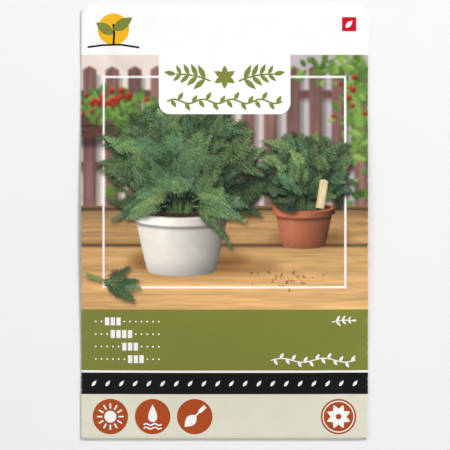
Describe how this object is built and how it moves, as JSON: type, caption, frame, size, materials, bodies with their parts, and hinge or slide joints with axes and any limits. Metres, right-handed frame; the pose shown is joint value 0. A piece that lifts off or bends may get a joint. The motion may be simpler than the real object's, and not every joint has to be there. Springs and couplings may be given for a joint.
{
  "type": "seed packet",
  "caption": "Flat sealed paper packet for herb seeds, lying on its back: folded sides, a lap seam and glued end flaps behind, and a heat-sealed glassine sachet of seeds inside.",
  "frame": {"origin": "middle of the packet's back, on the surface that it lies on", "axes": "+X across the packet, +Y up its printed front, +Z out of its front"},
  "size_m": [0.08, 0.12, 0.0042],
  "materials": {
    "coated_paper": "satin",
    "paper_glue": "matte",
    "glassine": "satin",
    "seed_coat": "matte"
  },
  "bodies": {
    "root": {"outer_envelope": "coated_paper", "back_seam_glue": "paper_glue", "bottom_flap_glue": "paper_glue", "top_flap_glue": "paper_glue", "sachet_back_film": "glassine", "sachet_front_film": "glassine", "seed_01": "seed_coat", "seed_02": "seed_coat", "seed_03": "seed_coat", "seed_04": "seed_coat", "seed_05": "seed_coat", "seed_06": "seed_coat", "seed_07": "seed_coat", "seed_08": "seed_coat", "seed_09": "seed_coat", "seed_10": "seed_coat", "seed_11": "seed_coat", "seed_12": "seed_coat", "seed_13": "seed_coat", "seed_14": "seed_coat", "seed_15": "seed_coat", "seed_16": "seed_coat", "seed_17": "seed_coat", "seed_18": "seed_coat", "seed_19": "seed_coat", "seed_20": "seed_coat", "seed_21": "seed_coat", "seed_22": "seed_coat", "seed_23": "seed_coat", "seed_24": "seed_coat", "seed_25": "seed_coat", "seed_26": "seed_coat", "seed_27": "seed_coat", "seed_28": "seed_coat", "seed_29": "seed_coat", "seed_30": "seed_coat", "seed_31": "seed_coat", "seed_32": "seed_coat", "seed_33": "seed_coat", "seed_34": "seed_coat", "seed_35": "seed_coat", "seed_36": "seed_coat", "seed_37": "seed_coat", "seed_38": "seed_coat", "seed_39": "seed_coat", "seed_40": "seed_coat", "seed_41": "seed_coat", "seed_42": "seed_coat", "seed_43": "seed_coat", "seed_44": "seed_coat", "seed_45": "seed_coat", "seed_46": "seed_coat", "seed_47": "seed_coat", "seed_48": "seed_coat"}
  },
  "joints": []
}
